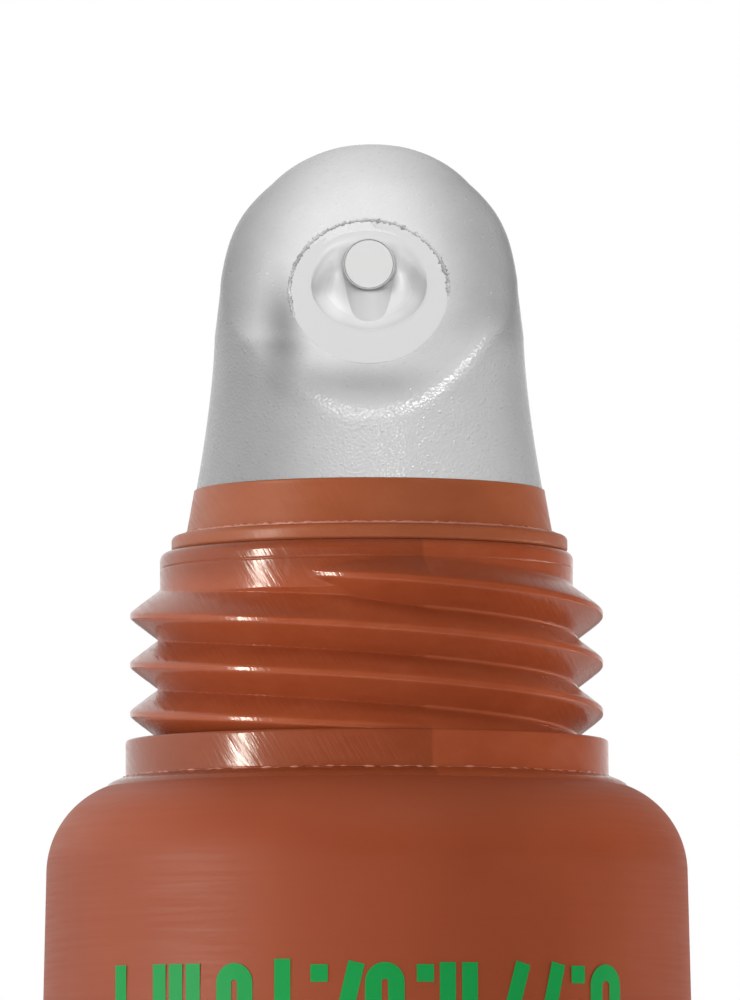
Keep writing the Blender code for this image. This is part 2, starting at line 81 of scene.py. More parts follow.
def piece(name, points, faces, mat, smooth_angle=40.0, aside=0.0):
    """A mesh object that rides on the tube's one body; aside shifts it along X, in millimetres."""
    mesh = bpy.data.meshes.new(name)
    mesh.from_pydata(placed(np.array(points) + np.array([aside, 0.0, 0.0])).tolist(), [], faces)
    mesh.validate()
    mesh.shade_smooth()
    mesh.set_sharp_from_angle(angle=math.radians(smooth_angle))
    mesh.materials.append(mat)
    made = bpy.data.objects.new(name, mesh)
    bpy.context.scene.collection.objects.link(made)
    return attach(made, "root")


def full_turn(columns):
    """Evenly spaced angles once round, without the last."""
    return np.linspace(0.0, 2.0 * math.pi, columns, endpoint=False)


def grid_faces(rows, columns, start=0, close_rows=False):
    """Quads of a grid whose columns run round and close on themselves."""
    i = np.arange(rows if close_rows else rows - 1)[:, None]
    j = np.arange(columns)[None, :]
    a = start + i * columns + j
    b = start + i * columns + (j + 1) % columns
    below = (i + 1) % rows
    c = start + below * columns + (j + 1) % columns
    d = start + below * columns + j
    return np.stack([a, d, c, b], -1).reshape(-1, 4).tolist()


def capped_faces(rows, columns):
    """Quads of a grid of rings, with a face over the first ring and over the last."""
    faces = grid_faces(rows, columns)
    faces.append(list(range(columns)))
    faces.append(list(range((rows - 1) * columns, rows * columns))[::-1])
    return faces


def ring_path(radius, z, turn):
    """Points of a ring about the tube's axis; radius and height may change round it."""
    return np.stack([radius * np.cos(turn), radius * np.sin(turn), z], -1)


def turned(profile, columns):
    """A closed (radius, height) outline turned about the tube's axis."""
    outline = np.array(profile, float)
    turn = full_turn(columns)
    r, z = outline[:, 0][:, None], outline[:, 1][:, None]
    return ring_path(r, z + 0.0 * turn, turn)


def fillet(corner_r, corner_z, radius, start, end, steps=6):
    """Outline points round a corner; angles from straight out, in degrees, turning up."""
    turn = np.radians(np.linspace(start, end, steps))
    return [(corner_r + radius * math.cos(t), corner_z + radius * math.sin(t)) for t in turn]


def line(first, last, steps):
    """Evenly spaced outline points between two, without the last."""
    share = np.arange(steps) / steps
    return [(first[0] + (last[0] - first[0]) * s, first[1] + (last[1] - first[1]) * s) for s in share]


def smooth_max(a, b, width):
    """The larger of two, blended over a width."""
    return 0.5 * (a + b + np.sqrt((a - b) ** 2 + width ** 2))


def rounded_max(a, b, reach):
    """The larger of two, blended only where they differ by less than the reach."""
    return np.maximum(a, b) + np.clip(reach - np.abs(a - b), 0.0, None) ** 2 / (4.0 * reach)


def eased(value, low, high):
    """0 below the first value, 1 above the second, smooth between."""
    share = np.clip((value - low) / (high - low), 0.0, 1.0)
    return share * share * (3.0 - 2.0 * share)


def ripple(angle, seed, terms, low):
    """A repeatable uneven ring: a sum of waves that closes after a full turn."""
    rng = np.random.default_rng(seed)
    out = np.zeros_like(angle)
    for _ in range(terms):
        count = rng.integers(low, low * 12)
        out += rng.normal() * np.sin(count * angle + rng.uniform(0.0, 6.28))
    return out / math.sqrt(terms)


# Material helpers

class Nodes:
    """Short calls for a material's nodes."""

    def __init__(self, name, **values):
        self.mat = bpy.data.materials.new(name)
        self.mat.use_nodes = True
        self.tree = self.mat.node_tree
        self.shader = self.tree.nodes["Principled BSDF"]
        self.coords = self.tree.nodes.new("ShaderNodeTexCoord").outputs["Object"]
        for key, value in values.items():
            self.shader.inputs[key.replace("_", " ")].default_value = value

    def feed(self, socket, value):
        """Links a socket, or sets it to a plain value."""
        if isinstance(value, bpy.types.NodeSocket):
            self.tree.links.new(value, socket)
        else:
            socket.default_value = value

    def add(self, kind, inputs=None, **settings):
        node = self.tree.nodes.new("ShaderNode" + kind)
        for key, value in settings.items():
            setattr(node, key, value)
        for key, value in (inputs or {}).items():
            self.feed(node.inputs[key], value)
        return node

    def link(self, value, name):
        self.tree.links.new(value, self.shader.inputs[name])

    def math(self, operation, a, b=0.0):
        return self.add("Math", {0: a, 1: b}, operation=operation).outputs[0]

    def weighted(self, total, part, weight):
        """The total with one more part, times its weight."""
        return self.math("ADD", total, self.math("MULTIPLY", part, weight))

    def split(self):
        """The three coordinates, each by itself."""
        place = self.add("SeparateXYZ", {0: self.coords}).outputs
        return place["X"], place["Y"], place["Z"]

    def mapped(self, vector, **values):
        """A vector, scaled or turned."""
        return self.add("Mapping", {"Vector": vector, **values}).outputs[0]

    def dot(self, direction):
        """How far a place lies along a direction."""
        return self.add("VectorMath", {0: self.coords, 1: direction},
                        operation="DOT_PRODUCT").outputs["Value"]

    def distance(self, centre, scale, lean=0.0):
        """Distance from a centre, scaled along each axis, so that 1 is an ellipsoid's surface."""
        offset = self.add("VectorMath", {0: self.coords, 1: centre}, operation="SUBTRACT").outputs[0]
        scaled = self.mapped(offset, Rotation=(0.0, lean, 0.0), Scale=scale)
        return self.add("VectorMath", {0: scaled}, operation="LENGTH").outputs["Value"]

    def noise(self, scale, detail=3.0, roughness=0.55, vector=None):
        return self.add("TexNoise", {"Vector": vector or self.coords, "Scale": scale,
                                     "Detail": detail, "Roughness": roughness}).outputs["Fac"]

    def cells(self, scale):
        """Distance to the nearest of many scattered points."""
        return self.add("TexVoronoi", {"Vector": self.coords, "Scale": scale}).outputs["Distance"]

    def remap(self, value, from_low, from_high, to_low, to_high, ends="LINEAR"):
        """One range laid on another and held at its ends."""
        return self.add("MapRange", {"Value": value, 1: from_low, 2: from_high, 3: to_low, 4: to_high},
                        interpolation_type=ends).outputs["Result"]

    def smooth(self, value, from_low, from_high, to_low, to_high):
        """One range laid on another with soft ends."""
        return self.remap(value, from_low, from_high, to_low, to_high, "SMOOTHSTEP")

    def mix(self, factor, first, second, blend="MIX"):
        node = self.add("Mix", data_type="RGBA", blend_type=blend)
        self.feed(node.inputs[0], factor)
        self.feed(node.inputs[6], first)
        self.feed(node.inputs[7], second)
        return node.outputs[2]

    def bump(self, height, strength, distance, normal=None):
        inputs = {"Height": height, "Strength": strength, "Distance": distance}
        if normal is not None:
            inputs["Normal"] = normal
        return self.add("Bump", inputs).outputs["Normal"]


def colour(r, g, b):
    return (r, g, b, 1.0)


# Materials

FINE_BUMP, LINE_BUMP, COARSE_BUMP = 0.00002, 0.00003, 0.00004


def sleeve_material():
    """Satin extruded plastic: fine drawn lines round it, clouding, a light grain, and painted light on the
    shoulder near the mouth, strongest towards its sides.
    """
    m = Nodes("sleeve_satin", Roughness=0.54, Specular_IOR_Level=0.60,
              Specular_Tint=colour(1.0, 0.97, 0.90))
    lines = m.noise(1.0, 4.0, 0.6, m.mapped(m.coords, Scale=(260.0, 260.0, 9000.0)))
    clouds = m.noise(180.0, 3.0)
    grain = m.noise(16000.0, 2.0)
    across, _, height = m.split()
    # Painted light on the shoulder near the mouth, stronger towards the left and right sides
    ends = m.remap(m.math("ABSOLUTE", across), 0.0032, 0.0058, 1.0, 2.1)
    painted_mouth_light = m.math("MULTIPLY", m.remap(height, level(-3.0), level(-1.3), 0.0, 0.26), ends)
    dark, light = colour(0.217, 0.0350, 0.0070), colour(0.243, 0.0430, 0.0105)
    plain = m.mix(m.remap(clouds, 0.3, 0.7, 0.0, 1.0), dark, light)
    m.link(m.mix(painted_mouth_light, plain, colour(0.40, 0.10, 0.050)), "Base Color")
    m.link(m.remap(lines, 0.3, 0.7, 0.49, 0.59), "Roughness")
    m.link(m.bump(grain, 0.06, FINE_BUMP, m.bump(lines, 0.05, FINE_BUMP)), "Normal")
    return m.mat


PARTING = math.radians(15.5 - 90.0)
RIGHT_OF_PARTING = (-math.sin(PARTING), math.cos(PARTING), 0.0)


def moulded_material(name, dark, light, roughness, hatch=0.0, upright_shade=0.0):
    """Glossy moulded plastic: faint flow clouding, a fine uneven skin and slanted tool lines.

    Painted shade darkens the collar's upright side and the plain upright rim over the threads,
    most on the mould half left of the parting line.
    """
    m = Nodes(name, Roughness=roughness, Specular_IOR_Level=0.50, Specular_Tint=colour(1.0, 0.95, 0.84))
    clouds = m.noise(700.0, 4.0, 0.6, m.mapped(m.coords, Scale=(1.0, 1.0, 2.2)))
    skin = m.noise(5200.0, 2.0)
    slanted = m.mapped(m.coords, Rotation=(0.0, math.radians(-60.0), 0.0))
    lines = m.noise(1.0, 2.0, 0.6, m.mapped(slanted, Scale=(900.0, 900.0, 11000.0)))
    toned = m.mix(m.remap(clouds, 0.3, 0.7, 0.0, 1.0), colour(*dark), colour(*light))
    # Painted shade on the upright collar side and the rim over the threads
    if upright_shade:
        _, _, height = m.split()
        upright = m.math("MAXIMUM", m.remap(height, level(0.0), level(0.1), 1.0, 0.0),
                         m.remap(height, level(3.6), level(4.1), 0.0, 1.0))
        left = m.remap(m.dot(RIGHT_OF_PARTING), -0.00003, 0.00003, 1.0, 0.15)
        share = m.math("MULTIPLY", m.math("MULTIPLY", upright, left), upright_shade)
        toned = m.mix(share, toned, colour(0.5, 0.5, 0.5), "MULTIPLY")
    m.link(toned, "Base Color")
    m.link(m.remap(lines, 0.35, 0.7, roughness - 0.04, roughness + 0.08), "Roughness")
    m.link(m.bump(skin, 0.10, FINE_BUMP, m.bump(lines, 0.15 + hatch, LINE_BUMP)), "Normal")
    return m.mat


# Painted shade on the tip, each an ellipsoid: centre, scale to a metre, lean and weight

TIP_PAINTED_SHADE = (
    ((-0.00200, -0.0023, level(10.15)), (1250.0, 400.0, 400.0), math.radians(-14.0), 0.80),
    ((0.0015, -0.0023, level(9.75)), (520.0, 300.0, 800.0), 0.0, 0.30),
    ((-0.0001, -0.0029, level(8.55)), (340.0, 200.0, 1150.0), 0.0, 0.36),
)
# Weights of the painted shade in a band on the skirt's left and over the lower skirt; middle and half-width
# of the painted shade towards the dome's edges, in metres
LEFT_BAND_SHADE_WEIGHT, SKIRT_SHADE_WEIGHT = 0.30, 0.33
EDGE_SHADE_X, EDGE_SHADE_HALF_WIDTH = -0.00022, 0.0036


def frosted_material():
    """Soft milky plastic with a matt grain; painted shade in a band on the skirt's left, in patches round the
    mouth and low on the face, towards the dome's edges and over the lower skirt.
    """
    m = Nodes("soft_frosted", Roughness=0.19, IOR=1.42, Transmission_Weight=0.15)
    x, y, z = m.split()
    # Painted shade in a band on the left of the skirt
    below = m.smooth(z, level(9.5), level(9.95), 1.0, 0.0)
    inner = m.smooth(x, -0.0025, -0.0006, 1.0, 0.0)
    rim = m.smooth(x, -0.0040, -0.0028, 0.15, 1.0)
    band = m.math("MULTIPLY", m.math("MULTIPLY", below, inner), rim)
    clouds = m.remap(m.noise(900.0, 3.0), 0.3, 0.7, -0.03, 0.03)
    share = m.math("ADD", m.math("MULTIPLY", band, LEFT_BAND_SHADE_WEIGHT), clouds)
    # Painted shade beside the mouth on the left, below it on the right and low on the face
    for centre, scale, lean, weight in TIP_PAINTED_SHADE:
        shade = m.smooth(m.distance(centre, scale, lean), 0.0, 1.0, 1.0, 0.0)
        share = m.weighted(share, shade, weight)
    # Painted shade towards the dome's edges, weaker towards the back
    sideways = m.math("MULTIPLY", m.math("ADD", x, -EDGE_SHADE_X), 1.0 / EDGE_SHADE_HALF_WIDTH)
    upward = m.remap(z, level(10.6), level(17.6), 0.0, 1.0)
    out = m.math("SQRT", m.math("ADD", m.math("MULTIPLY", sideways, sideways),
                                m.math("MULTIPLY", upward, upward)))
    edge_shade = m.math("MULTIPLY", m.smooth(out, 0.36, 0.94, 0.0, 1.0),
                  m.smooth(z, level(8.6), level(10.8), 0.0, 1.0))
    share = m.weighted(share, edge_shade, m.smooth(y, 0.0008, 0.0030, 0.80, 0.35))
    # Painted shade over the lower skirt
    wall = m.smooth(z, level(8.6), level(9.8), 1.0, 0.0)
    share = m.weighted(share, wall, SKIRT_SHADE_WEIGHT)
    m.link(m.mix(share, colour(0.50, 0.50, 0.50), colour(0.18, 0.18, 0.18)), "Base Color")
    spots = m.remap(m.cells(6000.0), 0.0, 0.24, 1.0, 0.0)
    coarse = m.bump(m.noise(7500.0, 3.0, 0.7), 0.12, FINE_BUMP)
    fine = m.bump(m.cells(12500.0), 0.22, COARSE_BUMP, coarse)
    m.link(m.bump(spots, 0.60, FINE_BUMP, fine), "Normal")
    return m.mat


# Painted highlights in the notch: middle (x, height), half-width and half-height in millimetres

NOTCH_PAINTED_HIGHLIGHTS = ((-0.98, 10.90, 0.52, 0.85), (1.20, 11.15, 0.38, 0.95))
HIGHLIGHT_Y, HIGHLIGHT_SCALE_Y = -0.0006, 300.0


def clear_material():
    """The clear nozzle, slightly hazy, with painted highlights and painted light on the notch's sides."""
    m = Nodes("nozzle_clear", Roughness=0.40, IOR=1.45, Transmission_Weight=0.10)
    across, _, height = m.split()
    # Painted highlights on the notch's two sides, kept inside the notch
    painted_highlight = 0.0
    for x, z, wide, tall in NOTCH_PAINTED_HIGHLIGHTS:
        away = m.distance(((x + TIP_ASIDE) * MM, HIGHLIGHT_Y, level(z)),
                          (1.0 / (wide * MM), HIGHLIGHT_SCALE_Y, 1.0 / (tall * MM)))
        painted_highlight = m.math("ADD", m.smooth(away, 0.4, 1.0, 1.0, 0.0), painted_highlight)
    plane = FACE_Y * math.cos(FACE_TILT) - (COLLAR_TOP + FACE_Z) * math.sin(FACE_TILT)
    sunk = m.dot((0.0, math.cos(FACE_TILT), -math.sin(FACE_TILT)))
    inside = m.smooth(sunk, (plane + 0.24) * MM, (plane + 0.40) * MM, 0.0, 1.0)
    painted_highlight = m.math("MULTIPLY", painted_highlight, inside)
    off_middle = m.math("ABSOLUTE", m.math("ADD", across, -TIP_ASIDE * MM))
    # Painted light on the notch's sides, fainter lower down
    sides = m.math("MULTIPLY", inside, m.remap(off_middle, 0.0006, 0.0008, 0.0, 1.0))
    sides = m.math("MULTIPLY", sides, m.remap(height, level(11.1), level(11.6), 0.1, 1.0))
    plain = m.mix(sides, colour(0.41, 0.41, 0.41), colour(0.58, 0.58, 0.58))
    m.link(m.mix(painted_highlight, plain, colour(0.47, 0.47, 0.47)), "Base Color")
    m.link(m.bump(m.noise(1500.0, 3.0), 0.10, COARSE_BUMP), "Normal")
    return m.mat


def balm_material():
    """Balm with a slightly uneven face."""
    m = Nodes("balm_soft", Roughness=0.35, Base_Color=colour(0.435, 0.435, 0.432))
    m.link(m.bump(m.noise(2500.0, 3.0), 0.10, COARSE_BUMP), "Normal")
    return m.mat


SLEEVE = sleeve_material()
NECK = moulded_material("neck_moulded", (0.260, 0.049, 0.0155), (0.292, 0.063, 0.0230), 0.17, 0.14, 0.46)
BASE = moulded_material("base_moulded", (0.250, 0.060, 0.0205), (0.282, 0.074, 0.0295), 0.36)
FLASH = moulded_material("flash_light", (0.40, 0.125, 0.075), (0.52, 0.22, 0.15), 0.40)
FROSTED = frosted_material()
CLEAR = clear_material()
SEAM = moulded_material("seam_grey", (0.19, 0.19, 0.19), (0.44, 0.44, 0.44), 0.45)
BALM = balm_material()
PRINT = Nodes("print_green", Roughness=0.5, Specular_IOR_Level=0.3,
              Base_Color=colour(0.002, 0.225, 0.043)).mat


# Sleeve: round under the shoulder, then flattened down to the ribbed seal

SLEEVE_COLUMNS = 256
ROUND_TO, LAST_ROUND = 5.2, 0.2
FLATTENING_ROWS, SEAL_ROWS = 70, 40
CROWDING = 0.8
RIB_DEPTH, RIB_PITCH = 0.05, 0.8
RIBBED_HALF_WIDTH, RIB_FADE = 12.0, 0.4
RIBBED_FROM, RIBBED_TO = 0.04, 0.96
FOOT_DRAWN_IN = 0.999


def ellipse_half_width(half_depth, girth):
    """Half-width of the ellipse with this half-depth and this girth."""
    low, high = half_depth, girth / 4.0
    for _ in range(60):
        middle = (low + high) / 2.0
        spread = ((middle - half_depth) / (middle + half_depth)) ** 2
        length = math.pi * (middle + half_depth) * (
            1.0 + 3.0 * spread / (10.0 + math.sqrt(4.0 - 3.0 * spread)))
        low, high = (middle, high) if length < girth else (low, middle)
    return (low + high) / 2.0


def sleeve_section(half_width, half_depth, offset, crowding):
    """An ellipse pushed outward, its points crowded towards the narrow ends."""
    turn = full_turn(SLEEVE_COLUMNS)
    turn = turn - crowding * np.sin(2.0 * turn) / 2.0
    x, y = half_width * np.cos(turn), half_depth * np.sin(turn)
    nx, ny = half_depth * np.cos(turn), half_width * np.sin(turn)
    size = np.hypot(nx, ny)
    return np.stack([x + offset * nx / size, y + offset * ny / size], -1)


def at_height(section, z):
    """A flat section as a ring of points."""
    return np.column_stack([section, np.full(SLEEVE_COLUMNS, z)])


def shoulder_points(inset, steps=26):
    """(radius, height) round the rolled shoulder, from the mouth outward."""
    centre_r = SHOULDER_R - SHOULDER_ROLL
    centre_z = EDGE_Z - SHOULDER_ROLL * math.cos(SHOULDER_SLOPE)
    turn = np.linspace(SHOULDER_SLOPE, math.pi / 2.0, steps)
    radius = SHOULDER_ROLL - inset
    return [(centre_r + radius * math.sin(t), centre_z + radius * math.cos(t)) for t in turn]


def sleeve_rows(inset, flat_depth, offset):
    """Rings from the mouth to the seal's top edge."""
    start = EDGE_Z - ROUND_TO
    end = SEAL_HEIGHT - COLLAR_TOP
    body_r = SLEEVE_R - inset
    middle_r = SLEEVE_R - SLEEVE_WALL
    rings = [at_height(sleeve_section(r, r, 0.0, 0.0), z) for r, z in shoulder_points(inset)]
    rings += [at_height(sleeve_section(body_r, body_r, 0.0, 0.0), z) for z in (start, start - LAST_ROUND)]
    for step in range(1, FLATTENING_ROWS + 1):
        t = step / FLATTENING_ROWS
        flat = t * t * (3.0 - t) / 2.0
        depth = middle_r * (1.0 - flat) + flat_depth * flat
        width = ellipse_half_width(depth, 2.0 * math.pi * middle_r)
        section = sleeve_section(width, depth, offset, CROWDING * flat)
        rings.append(at_height(section, start - LAST_ROUND + (end - start + LAST_ROUND) * t))
    return rings


outer = sleeve_rows(0.0, 0.001, SLEEVE_WALL)
inner = sleeve_rows(SLEEVE_WALL, 0.03, 0.0)
seal_edge = outer[-1]
for k in range(1, SEAL_ROWS + 1):
    down = k / SEAL_ROWS
    ring = seal_edge.copy()
    ring[:, 2] = SEAL_HEIGHT * (1.0 - down) - COLLAR_TOP
    if RIBBED_FROM < down < RIBBED_TO:
        rib = RIB_DEPTH * (0.5 - 0.5 * np.cos(2.0 * math.pi * ring[:, 0] / RIB_PITCH))
        edge = np.clip((RIBBED_HALF_WIDTH - np.abs(ring[:, 0])) / RIB_FADE, 0.0, 1.0)
        ring[:, 1] -= np.sign(ring[:, 1]) * rib * edge
    outer.append(ring)
outer[-1][:, :2] *= FOOT_DRAWN_IN
start = len(outer) * SLEEVE_COLUMNS
last = start + (len(inner) - 1) * SLEEVE_COLUMNS
faces = grid_faces(len(outer), SLEEVE_COLUMNS)
faces.append(list(range(start - SLEEVE_COLUMNS, start)))
faces += [f[::-1] for f in grid_faces(len(inner), SLEEVE_COLUMNS, start)]
faces.append(list(range(last, last + SLEEVE_COLUMNS))[::-1])
for j in range(SLEEVE_COLUMNS):
    k = (j + 1) % SLEEVE_COLUMNS
    faces.append([j, k, start + k, start + j])
sleeve = piece("sleeve_skin", np.array(outer + inner).reshape(-1, 3), faces, SLEEVE)
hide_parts("sleeve")


# Neck: the outer wall is a grid whose radius carries the two threads

CREST_FLAT, CREST_SOFT, CREST_SUNK = 0.045, 0.05, 0.30
ROOT_LEFT, ROOT_RIGHT = 4.93, 5.215
THREADED_TO, THREAD_FADE = 3.5, 0.3
PARTING_WIDTH, PARTING_STEP, COLLAR_STEP = 0.012, 0.003, 0.0022
GROOVE_Z, GROOVE_WIDTH, GROOVE_DEPTH = 4.225, 0.022, 0.012
WAIST_Z, WAIST_WIDTH, WAIST_DEPTH = 3.86, 0.25, 0.012
NECK_COLUMNS, NECK_ROWS = 512, 260
TOP_ROUND, COLLAR_ROUND, FOOT_ROUND = 0.21, 0.07, 0.05
LIP_SHARE = 0.003


def right_half(turn):
    """1 on the mould half right of the parting line, 0 on the other, a thin step between."""
    past = np.mod(turn - PARTING, 2.0 * math.pi)
    entered = np.clip(past / PARTING_WIDTH, 0.0, 1.0)
    return entered * np.clip((math.pi - past) / PARTING_WIDTH, 0.0, 1.0)


def thread_radius(turn, z):
    """Outer radius of the threaded neck at each angle and height."""
    right = right_half(turn)
    threaded = np.clip((THREADED_TO - z) / THREAD_FADE, 0.0, 1.0)
    root = NECK_R + threaded * (ROOT_LEFT + (ROOT_RIGHT - ROOT_LEFT) * right - NECK_R)
    ridges = np.full(np.broadcast(turn, z).shape, 0.0)
    for start in range(2):
        begin = THREAD_START + math.pi * start
        along = np.mod(turn - begin, 2.0 * math.pi)
        for lap in range(3):
            run = along + 2.0 * math.pi * lap
            centre = THREAD_START_Z - THREAD_LEAD * run / (2.0 * math.pi)
            grown = np.sin(np.minimum(1.0, run / THREAD_RUN_IN) * math.pi / 2.0)
            crest = NECK_R - CREST_SUNK + (THREAD_CREST_R - NECK_R + CREST_SUNK) * grown
            away = np.maximum(np.abs(z - centre) - CREST_FLAT, 0.0)
            drop = (np.sqrt(away ** 2 + CREST_SOFT ** 2) - CREST_SOFT) / math.tan(THREAD_FLANK)
            ridges = np.maximum(ridges, crest - drop)
    near_top = np.clip((z - THREAD_START_Z + 0.2) / THREAD_FADE, 0.0, 1.0)
    joined = smooth_max(ridges, root + 0.0 * ridges, 0.03 + 0.08 * near_top)
    groove = GROOVE_DEPTH * np.exp(-((z - GROOVE_Z) / GROOVE_WIDTH) ** 2)
    waist = WAIST_DEPTH * np.exp(-((z - WAIST_Z) / WAIST_WIDTH) ** 2)
    return joined - PARTING_STEP * right - groove - waist


turn = full_turn(NECK_COLUMNS)
neck_top = NECK_HEIGHT - TOP_ROUND
wall_z = np.linspace(neck_top, 0.0, NECK_ROWS)[:, None] + 0.0 * turn[None, :]
wall = ring_path(thread_radius(turn[None, :], wall_z), wall_z, turn)
above = turned([
    (BORE_R, NECK_HEIGHT),
    *line((BORE_R + 0.1, NECK_HEIGHT), (NECK_R - TOP_ROUND, NECK_HEIGHT), 3),
    *fillet(NECK_R - TOP_ROUND, neck_top, TOP_ROUND, 90.0, 5.0, 14),
], NECK_COLUMNS)
foot_z = -COLLAR_HEIGHT
below = turned([
    *fillet(COLLAR_R - COLLAR_ROUND, -COLLAR_ROUND, COLLAR_ROUND, 90.0, 0.0),
    *line((COLLAR_R, -0.12), (COLLAR_R, foot_z + FOOT_ROUND), 8),
    *fillet(COLLAR_R + FOOT_ROUND, foot_z + FOOT_ROUND, FOOT_ROUND, 180.0, 250.0, 5),
    (6.12, foot_z - 0.03), (6.26, foot_z - 0.08), (6.40, foot_z - 0.16),
    (6.46, EDGE_Z - 0.02), (6.44, EDGE_Z - 0.10), (6.30, EDGE_Z - 0.4),
    (BORE_R, EDGE_Z - 0.6), (BORE_R, 1.0),
], NECK_COLUMNS)
step = right_half(turn)[None, :, None] * np.array([1.0, 1.0, 0.0]) * COLLAR_STEP
lips = np.abs(ripple(turn, 11, 12, 9)) * (np.abs(below[:, :, 2] - foot_z + 0.01) < 0.035)
below = below * (1.0 + step)
below[:, :, :2] *= (1.0 + LIP_SHARE * lips)[..., None]
rows = np.concatenate([above, wall, below])
neck = piece("neck_moulding", rows.reshape(-1, 3), grid_faces(len(rows), NECK_COLUMNS, close_rows=True), NECK)
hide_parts("tube_head")


# Applicator base: flange with a ragged flash line, and the band above it

BASE_COLUMNS, FLASH_COLUMNS = 384, 640
BASE_BORE_R = BORE_R - 0.1
FLANGE_SEAT = NECK_HEIGHT + 0.003
BRIM_ROUND, SEAT_ROUND, BAND_ROUND = 0.13, 0.09, 0.03

rows = turned([
    (BASE_BORE_R, BAND_TOP), *line((4.2, BAND_TOP), (BAND_TOP_R - BAND_ROUND, BAND_TOP), 2),
    *fillet(BAND_TOP_R - BAND_ROUND, BAND_TOP - BAND_ROUND, BAND_ROUND, 90.0, 10.0, 4),
    *line((BAND_TOP_R, BAND_TOP - 0.05), (BAND_BOTTOM_R, FLANGE_TOP + 0.06), 14),
    (BAND_BOTTOM_R + 0.01, FLANGE_TOP + 0.03), (BAND_BOTTOM_R + 0.05, FLANGE_TOP),
    *line((BAND_BOTTOM_R + 0.09, FLANGE_TOP), (FLANGE_R - BRIM_ROUND, FLANGE_TOP), 4),
    *fillet(FLANGE_R - BRIM_ROUND, FLANGE_TOP - BRIM_ROUND, BRIM_ROUND, 90.0, 0.0, 8),
    *fillet(FLANGE_R - SEAT_ROUND, FLANGE_SEAT + SEAT_ROUND, SEAT_ROUND, 0.0, -80.0, 8),
    (FLANGE_R - 0.12, FLANGE_SEAT), (BASE_BORE_R, FLANGE_SEAT),
], BASE_COLUMNS)
base = piece("applicator_band", rows.reshape(-1, 3), grid_faces(len(rows), BASE_COLUMNS, close_rows=True),
             BASE, aside=TIP_ASIDE)
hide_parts("applicator_base")


def bead(name, path, thickness, mat, aside, sides=8):
    """A closed uneven bead along a path, thickness given at each point of it."""
    ahead = np.roll(path, -1, 0) - np.roll(path, 1, 0)
    ahead /= np.linalg.norm(ahead, axis=1)[:, None]
    out = np.cross(ahead, [0.0, 0.3, 1.0])
    out /= np.linalg.norm(out, axis=1)[:, None]
    up = np.cross(out, ahead)
    rows = [path + thickness[:, None] * (math.cos(s) * out + math.sin(s) * up) for s in full_turn(sides)]
    return piece(name, np.array(rows).reshape(-1, 3), grid_faces(sides, len(path), close_rows=True), mat,
                 90.0, aside)


turn = full_turn(FLASH_COLUMNS)
flash_r = BAND_BOTTOM_R + 0.045 + 0.012 * ripple(turn, 5, 16, 12)
flash_z = FLANGE_TOP + 0.02 + 0.012 * ripple(turn, 6, 16, 12)
flash_width = 0.040 + 0.016 * np.abs(ripple(turn, 7, 18, 16))
flash = bead("flash_line", ring_path(flash_r, flash_z, turn), flash_width, FLASH, TIP_ASIDE)
foot_r = COLLAR_R + 0.05 + 0.010 * ripple(turn, 15, 16, 9)
foot_line_z = foot_z + 0.012 + 0.010 * ripple(turn, 16, 16, 9)
foot_width = 0.003 + 0.020 * np.clip(ripple(turn, 17, 20, 12), 0.0, 1.2)
foot_line = bead("foot_line", ring_path(foot_r, foot_line_z, turn), foot_width, FLASH, 0.0)


# Soft tip: rings from the mouth's edge out over the slanted face and down to the base

TIP_COLUMNS, TIP_RINGS = 384, 300
TIP_HEART = np.array([0.0, 0.5, 9.0])
TIP_FOOT_R, TIP_INNER_R, TIP_FOOT_Z = 4.3, 3.0, BAND_TOP + 0.004
SKIRT_TOP, SKIRT_R, SKIRT_FLARE, SKIRT_HEIGHT = 10.0, 3.84, 0.46, 3.8
WAIST_TAPER = 0.118
DOME_FOOT, DOME_HEIGHT, DOME_R_SQUARED = 11.19, 4.36, 13.69
DISH_X, DISH_Z, DISH_R, DISH_SINK = 0.12, 11.19, 2.83, 0.30
SOCKET_X, SOCKET_SHARE, SOCKET_END_Y = 0.0336, 0.998, 1.4


def face_y(z):
    """Front-to-back place of the flat slanted face."""
    return FACE_Y + (z - FACE_Z) * math.tan(FACE_TILT)


def tip_radius_squared(z):
    """Square of the tip's radius before its face is cut, by height."""
    skirt = SKIRT_R + SKIRT_FLARE * (np.clip(SKIRT_TOP - z, 0.0, None) / SKIRT_HEIGHT) ** 1.5
    waist = SKIRT_R - WAIST_TAPER * (z - SKIRT_TOP)
    share = np.clip(z - DOME_FOOT, 0.0, None) / DOME_HEIGHT
    fuller = 1.10 * eased(z, 11.6, 13.4) + 1.3 * np.clip(z - 14.0, 0.0, 1.0)
    dome = DOME_R_SQUARED * (1.0 - share ** 1.7) + fuller
    return np.where(z < SKIRT_TOP, skirt ** 2, np.where(z < DOME_FOOT, waist ** 2, dome))


def dish_depth(x, z):
    """How far the hollow round the mouth sinks under the slanted plane."""
    return DISH_SINK * np.clip(1.0 - (np.hypot(x - DISH_X, z - DISH_Z) / DISH_R) ** 2, 0.0, None)


def skin_y(x, z):
    """Front-to-back place of the slanted face with its hollow."""
    return face_y(z) + dish_depth(x, z) / math.cos(FACE_TILT)


def tip_field(p):
    """Negative inside the tip."""
    z = p[..., 2]
    x, y = p[..., 0] - 0.07 * np.clip((z - 11.0) / 3.8, 0.0, 1.0) ** 2, p[..., 1]
    wall = (x * x + y * y - tip_radius_squared(z)) / 7.6
    face = (y - FACE_Y) * -math.cos(FACE_TILT) + (z - FACE_Z) * math.sin(FACE_TILT) + dish_depth(x, z)
    return rounded_max(wall, face, 0.22 + 0.78 * eased(z, 9.3, 11.6) - 0.2 * eased(z, 12.8, 14.6))


def from_heart(points):
    """Directions from the tip's heart to the points."""
    away = points - TIP_HEART
    return away / np.linalg.norm(away, axis=1)[:, None]


